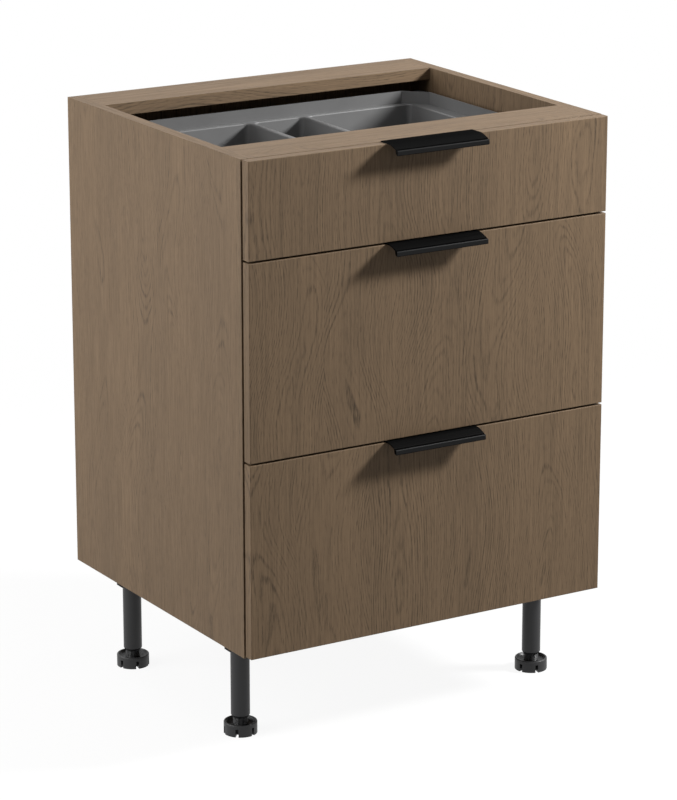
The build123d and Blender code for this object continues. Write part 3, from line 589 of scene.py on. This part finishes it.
def socket_gussets(corner):
    """Sleeve and gussets of one leg, between the plate of its socket and its tube."""
    low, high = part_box("leg_tube_" + corner)
    tube = (high[0] - low[0]) / 2
    top = high[2] + OVERLAP
    inside = tube - OVERLAP
    sleeve = tube + SLEEVE_WALL
    at_tip = math.asin(GUSSET_HALF / GUSSET_REACH)
    at_foot = math.asin(GUSSET_HALF / sleeve)
    star = []                      # angle, radius above, radius at the bottom
    for quarter in range(4):
        turn = math.pi / 2 * quarter
        star.append((turn - at_foot, sleeve, sleeve))
        star.append((turn - at_tip, GUSSET_REACH, sleeve + TOE))
        star.append((turn + at_tip, GUSSET_REACH, sleeve + TOE))
        star.append((turn + at_foot, sleeve, sleeve))
        star += [(turn + math.radians(part), sleeve, sleeve) for part in BARE]
    rows = [[round_point(least, angle, top - SLEEVE_HEIGHT) for angle, reach, least in star],
            [round_point(reach, angle, top - GUSSET_HEIGHT) for angle, reach, least in star],
            [round_point(reach, angle, top) for angle, reach, least in star],
            [round_point(inside, angle, top) for angle, reach, least in star],
            [round_point(inside, angle, top - SLEEVE_HEIGHT) for angle, reach, least in star]]
    mesh = skin("socket_gussets_" + corner, rows, ring=True)
    mesh.transform(Matrix.Translation(axis_of("leg_tube_" + corner)))
    mesh.materials.append(leg_plastic)
    piece = new_piece(mesh, "cabinet", sharp_angle=30)
    soft = piece.modifiers.new("soft_edges", "BEVEL")
    soft.width = SOFTENED
    soft.segments = 2
    soft.angle_limit = math.radians(40)
    return piece


for corner in corners:
    gussets = socket_gussets(corner)
print("points in one set of gussets:", len(gussets.data.vertices))

# %% [markdown]
# ## Edge pulls
# Seen close up, the face of each handle falls nearly straight from the board to its nose, and
# the lip under it has a flat front with a small bevel along its upper edge. That bevel is the
# thin light line that runs along a handle. The frame's profile is a little rounder in both
# places. A copy of its mesh keeps the length, the leg behind the board and the screw holes, and
# only the points in front of the board move: those of the face towards a straight line, and
# those of the lip onto the flat front and its bevels.

# %% Edge pulls
# depths are counted from the foremost line, heights from the foot of the leg behind the board
FACE_BACK = 20.19 * MM         # where the falling face starts
FACE_FRONT = 3.79 * MM         # where it ends, at the nose
FACE_FALL = 5.4 * MM           # how much lower the nose lies
FACE_LOW = 16.0 * MM           # all points of the face are higher than this
PULL_WALL = 1.5 * MM
STRAIGHT = 0.8                 # 0 leaves the frame's curve, 1 is a straight line
LIP_TOP = 15.05 * MM
LIP_LOW = 7.5 * MM
LIP_BACK = 2.4 * MM            # the round front of the lip lies before this
LIP_BEVEL = 0.8 * MM
SLACK = 0.1 * MM               # for points that lie on one of these lines


def edge_pull(number):
    """One handle with a flatter face and a flat-fronted lip."""
    low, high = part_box("handle_%d" % number)
    mesh = nodes["handle_%d" % number].data.copy()
    mesh.name = "edge_pull_%d" % number
    slope = FACE_FALL / (FACE_BACK - FACE_FRONT)
    for vertex in mesh.vertices:
        y, z = vertex.co.y - low[1], vertex.co.z - low[2]
        if LIP_TOP + SLACK > z > LIP_LOW - SLACK and y < LIP_BACK:
            into_bevel = LIP_BEVEL - min(z - LIP_LOW, LIP_TOP - z)
            vertex.co.y = low[1] + max(0, min(LIP_BEVEL, into_bevel))
        elif FACE_FRONT + SLACK < y < FACE_BACK and z > FACE_LOW:
            line = high[2] - low[2] + (y - FACE_BACK) * slope
            # the frame's face falls as a parabola: half a wall below it parts the two skins
            fall = FACE_FALL * ((FACE_BACK - y) / (FACE_BACK - FACE_FRONT)) ** 2
            outer = z > high[2] - low[2] - fall - PULL_WALL / 2
            line -= 0 if outer else PULL_WALL
            vertex.co.z += (line - z) * STRAIGHT
    return new_piece(mesh, "drawer_%d" % number, "handle_%d" % number, sharp_angle=25)


for number in DRAWERS:
    pull = edge_pull(number)
print("points in one edge pull:", len(pull.data.vertices))

# %% [markdown]
# ## Screw heads
# The frame's screws are plain turned bars in their true places. A real one has a rounded pan
# head, or a countersunk one in the handles, with a cross recess. Each bar of a group is read
# back from the frame: its long side is the axis, and its rings give the head and the shank.
# The head is then turned again with a softened rim, and the cross is cut as a tapered pocket.

# %% Screw heads
CROSS_WIDTH = 0.24             # arm of the cross, as a share of the head's radius
CROSS_REACH = 0.62             # from the middle to its tip, likewise
CROSS_DEPTH = 0.9 * MM
CROSS_TAPER = 0.7              # width of its floor, as a share of its mouth
PAN_HEAD = ((0.0, 0.72), (0.10, 0.90), (0.24, 1.0))   # depth and radius as shares of the radius
STRAIGHT_SIDE = 0.98           # a pan head keeps at least this share of its radius, a cone doesn't
HEAD_STEPS = 24
SAME_POINT = 0.002 * MM        # points this close are one
SAME_DEPTH = 0.01 * MM
LEAST_RADIUS = 0.5 * MM        # smaller rings are the middle of an end


def loose_bars(mesh):
    """Groups of vertex positions that hang together, one for each screw of a part."""
    group = list(range(len(mesh.vertices)))

    def root_of(i):
        while group[i] != i:
            group[i] = group[group[i]]
            i = group[i]
        return i

    at = {}
    for vertex in mesh.vertices:
        key = tuple(round(c / SAME_POINT) for c in vertex.co)
        group[root_of(vertex.index)] = root_of(at.setdefault(key, vertex.index))
    for edge in mesh.edges:
        a, b = edge.vertices
        group[root_of(a)] = root_of(b)
    bars = {}
    for vertex in mesh.vertices:
        bars.setdefault(root_of(vertex.index), []).append(vertex.co.copy())
    return list(bars.values())


def screw_frame(points):
    """Seat of the head, direction into the wood, and the profile as (depth, radius) pairs."""
    low = Vector([min(p[i] for p in points) for i in range(3)])
    high = Vector([max(p[i] for p in points) for i in range(3)])
    size = high - low
    axis = max(range(3), key=lambda i: size[i])
    middle = (low + high) / 2
    rings = {}
    for p in points:
        away = p - middle
        away[axis] = 0
        depth = round(p[axis] / SAME_DEPTH)
        rings.setdefault(depth, set()).add(round(away.length, 5))
    ends = sorted(rings)
    head_is_low = max(rings[ends[0]]) > max(rings[ends[-1]])
    direction = Vector((0, 0, 0))
    direction[axis] = 1 if head_is_low else -1
    start = middle.copy()
    start[axis] = low[axis] if head_is_low else high[axis]
    order = ends if head_is_low else ends[::-1]
    profile = []
    for depth in order:
        distance = abs(depth * SAME_DEPTH - start[axis])
        for radius in sorted((r for r in rings[depth] if r > LEAST_RADIUS), reverse=True):
            profile.append((distance, radius))
    return start, direction, profile


def screw_shape(profile):
    """Points and faces of one screw: Z = 0 is the top of the head, the shank runs along +Z."""
    head = profile[0][1]
    pan = profile[1][1] > STRAIGHT_SIDE * head
    rings = [(depth * head, radius * head) for depth, radius in (PAN_HEAD if pan else ((0.0, 1.0),))]
    rings += profile[1:]
    bm = bmesh.new()
    loops = []
    for depth, radius in rings:
        loops.append([bm.verts.new(round_point(radius, 2 * math.pi * i / HEAD_STEPS, depth))
                      for i in range(HEAD_STEPS)])
    for near, far in zip(loops, loops[1:]):
        for i in range(HEAD_STEPS):
            j = (i + 1) % HEAD_STEPS
            bm.faces.new((near[i], far[i], far[j], near[j]))
    bm.faces.new(loops[-1])
    arm, tip = CROSS_WIDTH * head / 2, CROSS_REACH * head
    corner_points = [(tip, -arm), (tip, arm), (arm, arm), (arm, tip), (-arm, tip), (-arm, arm),
                     (-tip, arm), (-tip, -arm), (-arm, -arm), (-arm, -tip), (arm, -tip), (arm, -arm)]
    mouth = [bm.verts.new((x, y, 0)) for x, y in corner_points]
    floor_of_cross = [bm.verts.new((x * CROSS_TAPER, y * CROSS_TAPER, CROSS_DEPTH))
                      for x, y in corner_points]
    count = len(mouth)
    rim = [bm.edges.new((mouth[i], mouth[(i + 1) % count])) for i in range(count)]
    top = [bm.edges.get((loops[0][i], loops[0][(i + 1) % HEAD_STEPS])) for i in range(HEAD_STEPS)]
    bmesh.ops.triangle_fill(bm, edges=rim + top, use_beauty=True, use_dissolve=False)
    for i in range(count):
        j = (i + 1) % count
        bm.faces.new((mouth[i], mouth[j], floor_of_cross[j], floor_of_cross[i]))
    bm.faces.new(floor_of_cross)
    bmesh.ops.recalc_face_normals(bm, faces=bm.faces)
    return bm


def cross_head_screws(node, body):
    """All screws of one part, joined in one mesh."""
    group = bmesh.new()
    bars = loose_bars(nodes[node].data)
    for points in bars:
        start, direction, profile = screw_frame(points)
        one = screw_shape(profile)
        mesh = bpy.data.meshes.new("one_screw")
        one.to_mesh(mesh)
        one.free()
        turn = direction.to_track_quat("Z", "Y").to_matrix().to_4x4()
        mesh.transform(Matrix.Translation(start) @ turn)
        group.from_mesh(mesh)
        bpy.data.meshes.remove(mesh)
    mesh = bpy.data.meshes.new("cross_head_" + node)
    group.to_mesh(mesh)
    group.free()
    mesh.materials.append(zinc_plate)
    new_piece(mesh, body, node, sharp_angle=30)
    return len(bars)


screw_count = cross_head_screws("runner_screws", "cabinet")
screw_count += cross_head_screws("leg_screws", "cabinet")
for number in DRAWERS:
    screw_count += cross_head_screws("drawer_screws_%d" % number, "drawer_%d" % number)
print("screws with a cross recess:", screw_count)

# %% [markdown]
# ## Floor and light
# The cabinet stands on a plain white floor. The camera sees that floor at a level of nearly
# one, so the page behind the cabinet is white, while the lamps stay plain and soft and the
# floor still takes a faint shadow. Further off the floor is all page, so that no grey band
# shows where it ends in a view from the side. A foot that is screwed out reaches below the
# floor, because the cabinet itself isn't lifted. The floor therefore has a round opening just
# larger than the disc under each foot, and the foot sinks into it instead of being cut.
#
# The main lamp is a soft box to the right and in front, above the fronts: it grazes them and
# throws each handle's shadow down and to the left. A large one stands upright at the left,
# where it lights the left side but reaches little of the tops and of the inside, which have to
# stay darker. Two weak ones, above and behind, keep the tops and the back from going dark, and
# the pale room fills the rest.

# %% Floor
PAGE_SHARE = 0.92              # what is left takes the cabinet's shadow
PAGE_NEAR, PAGE_FAR = 0.7, 2.2  # the floor turns into page between these distances
FLOOR_BOUNCE = "#8c8c8c"       # how light the floor is for the rays that light the cabinet
FLOOR_HALF = 30
WELL_RADIUS = RIM_RADIUS + 0.2 * MM
WELL_STEPS = 64


def rays_that_see_white(tree):
    """1 for the rays that show the page itself: straight, mirrored or through glass."""
    ray = add(tree, "ShaderNodeLightPath").outputs
    mirrored = add(tree, "ShaderNodeMath", {0: ray["Is Camera Ray"], 1: ray["Is Glossy Ray"]},
                   operation="MAXIMUM")
    return add(tree, "ShaderNodeMath", {0: mirrored, 1: ray["Is Transmission Ray"]}, operation="MAXIMUM")


def white_floor():
    """Paper that shows as white and keeps a faint shadow, yet throws little light back up."""
    material, tree, output = new_material("white_floor")
    white = rays_that_see_white(tree)
    tone = add(tree, "ShaderNodeMix", {0: white, 6: linear(FLOOR_BOUNCE), 7: (1, 1, 1, 1)},
               data_type="RGBA")
    paint = add(tree, "ShaderNodeBsdfDiffuse", {"Color": tone})
    page = add(tree, "ShaderNodeEmission", {"Color": (1, 1, 1, 1), "Strength": 1.0})
    place = add(tree, "ShaderNodeTexCoord").outputs["Object"]
    away = add(tree, "ShaderNodeVectorMath", {0: place}, operation="LENGTH").outputs["Value"]
    share = add(tree, "ShaderNodeMapRange", {0: away, 1: PAGE_NEAR, 2: PAGE_FAR, 3: PAGE_SHARE, 4: 1.0},
                interpolation_type="SMOOTHSTEP")
    share = add(tree, "ShaderNodeMath", {0: white, 1: share}, operation="MULTIPLY")
    both = add(tree, "ShaderNodeMixShader", {0: share, 1: paint, 2: page})
    tree.links.new(both.outputs[0], output.inputs[0])
    return material


def floor_with_wells():
    """A square floor with a round opening under each foot."""
    outlines = [[(-FLOOR_HALF, -FLOOR_HALF, 0), (FLOOR_HALF, -FLOOR_HALF, 0),
                 (FLOOR_HALF, FLOOR_HALF, 0), (-FLOOR_HALF, FLOOR_HALF, 0)]]
    for corner in corners:
        middle = axis_of("foot_disc_" + corner)
        outlines.append([middle + Vector(round_point(WELL_RADIUS, 2 * math.pi * i / WELL_STEPS, 0))
                         for i in range(WELL_STEPS)])
    bm = bmesh.new()
    edges = []
    for outline in outlines:
        loop = [bm.verts.new(point) for point in outline]
        edges += [bm.edges.new((loop[i - 1], loop[i])) for i in range(len(loop))]
    bmesh.ops.triangle_fill(bm, edges=edges, use_beauty=True, use_dissolve=False, normal=(0, 0, 1))
    mesh = bpy.data.meshes.new("floor")
    bm.to_mesh(mesh)
    bm.free()
    return mesh


floor_mesh = floor_with_wells()
floor = bpy.data.objects.new("floor", floor_mesh)
bpy.context.collection.objects.link(floor)
floor_mesh.materials.append(white_floor())
print("area of the floor in square metres:", round(sum(face.area for face in floor_mesh.polygons), 2),
      "lowest normal:", round(min(face.normal.z for face in floor_mesh.polygons), 3))

# %% Light
CABINET_MIDDLE = Vector((0, 0, 0.5))


def soft_box(name, azimuth, elevation, distance, size, power):
    """A square lamp, seen from the cabinet at that azimuth (0 front, 90 right) and elevation."""
    a, e = math.radians(azimuth), math.radians(elevation)
    away = Vector((math.sin(a) * math.cos(e), -math.cos(a) * math.cos(e), math.sin(e)))
    lamp = bpy.data.objects.new(name, bpy.data.lights.new(name, "AREA"))
    bpy.context.collection.objects.link(lamp)
    lamp.data.size = size
    lamp.data.energy = power
    lamp.location = CABINET_MIDDLE + away * distance
    lamp.rotation_euler = away.to_track_quat("Z", "Y").to_euler()


soft_box("key_right_front", azimuth=60, elevation=32, distance=3.0, size=0.52, power=154)
soft_box("fill_left", azimuth=-105, elevation=19, distance=2.4, size=1.8, power=51)
soft_box("top", azimuth=0, elevation=85, distance=3.5, size=2.0, power=21)
soft_box("back", azimuth=-160, elevation=42, distance=3.0, size=1.6, power=20)

ROOM_LIGHT = 0.070
world = bpy.data.worlds.new("room")
bpy.context.scene.world = world
world.use_nodes = True
world.node_tree.nodes.clear()
sky = world.node_tree
room = add(sky, "ShaderNodeBackground", {"Color": (1, 1, 1, 1), "Strength": ROOM_LIGHT})
page = add(sky, "ShaderNodeBackground", {"Color": (1, 1, 1, 1), "Strength": 1.0})
both = add(sky, "ShaderNodeMixShader", {0: rays_that_see_white(sky), 1: room, 2: page})
add(sky, "ShaderNodeOutputWorld", {0: both})
bpy.context.scene.view_settings.view_transform = "Standard"
print("lamps and their power in watts:", {lamp.name: lamp.energy for lamp in bpy.data.lights})
